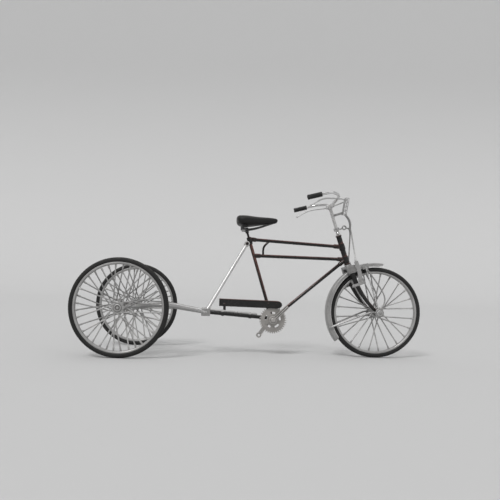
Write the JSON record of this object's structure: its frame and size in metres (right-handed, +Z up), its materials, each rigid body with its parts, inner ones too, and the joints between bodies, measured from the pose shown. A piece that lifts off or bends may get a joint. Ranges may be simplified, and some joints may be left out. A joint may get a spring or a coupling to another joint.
{
  "type": "scale-model pedal tricycle chassis",
  "caption": "Small scale model of a long pedal tricycle chassis: diamond frame with double top tube, rod brakes, wire wheels, rear beams on a live axle.",
  "frame": {"origin": "centre of the bounding box at ground level, under the middle of the wheelbase", "axes": "+X forward along the wheelbase, -Y the chainring side, +Z up"},
  "size_m": [0.1642, 0.0588, 0.0777],
  "materials": {
    "black": "gloss black enamel",
    "silver": "silver paint",
    "chrome": "bright plated",
    "wheel": "satin plated",
    "ring": "satin plated",
    "tyre": "matt rubber",
    "grip": "matt rubber",
    "saddle": "smooth black",
    "spring": "dark paint"
  },
  "bodies": {
    "frame": {"axle_bridge": "silver", "axle_hanger_left": "silver", "axle_hanger_right": "silver", "bottom_bracket_shell": "black", "chain_guard": "black", "chain_stay_left": "black", "chain_stay_right": "black", "down_tube": "black", "head_tube": "black", "joint_bridge": "silver", "lower_top_tube": "black", "rear_beam_left": "silver", "rear_beam_right": "silver", "saddle": "saddle", "saddle_frame": "spring", "seat_lug": "black", "seat_post": "chrome", "seat_stay_left": "silver", "seat_stay_right": "silver", "seat_tube": "black", "stay_bolt": "black", "stay_joint_left": "silver", "stay_joint_right": "silver", "stay_rod": "silver", "top_tube_brace": "black", "upper_top_tube": "black"},
    "steering": {"fork_crown": "silver", "fork_blade_right": "black", "fork_blade_left": "black", "front_axle": "silver", "front_mudguard": "silver", "mudguard_stay_front_right": "silver", "mudguard_stay_front_left": "silver", "mudguard_stay_rear_right": "silver", "mudguard_stay_rear_left": "silver", "headset_nut": "chrome", "stem": "chrome", "handlebar": "chrome", "grip_right": "grip", "grip_left": "grip", "lever_bracket": "silver", "brake_lever_right": "chrome", "brake_lever_left": "chrome", "brake_stirrup_right": "silver", "brake_stirrup_left": "silver", "brake_shoe_right": "silver", "brake_shoe_left": "silver", "rod_guide": "silver"},
    "front_wheel": {"wheel_front": "wheel", "tyre_front": "tyre"},
    "rear_axle_set": {"rear_axle": "silver", "rear_sprocket": "ring", "wheel_rear_right": "wheel", "tyre_rear_right": "tyre", "wheel_rear_left": "wheel", "tyre_rear_left": "tyre"},
    "crank_set": {"chainring": "ring", "crank_spindle": "ring", "crank_right": "ring", "crank_left": "ring"}
  },
  "joints": [
    {"name": "steering", "type": "hinge", "parent": "frame", "child": "steering", "pos_m": [0.0411, 0, 0.06], "axis": [-0.3156, 0, 0.9489], "range_deg": [-45, 45]},
    {"name": "front_wheel_spin", "type": "hinge", "parent": "steering", "child": "front_wheel", "pos_m": [0.06015, 0, 0.022], "axis": [0, 1, 0], "continuous": true},
    {"name": "rear_axle_spin", "type": "hinge", "parent": "frame", "child": "rear_axle_set", "pos_m": [-0.06015, 0, 0.022], "axis": [0, 1, 0], "continuous": true},
    {"name": "crank_spin", "type": "hinge", "parent": "frame", "child": "crank_set", "pos_m": [0.01, 0, 0.0172], "axis": [0, 1, 0], "continuous": true}
  ]
}
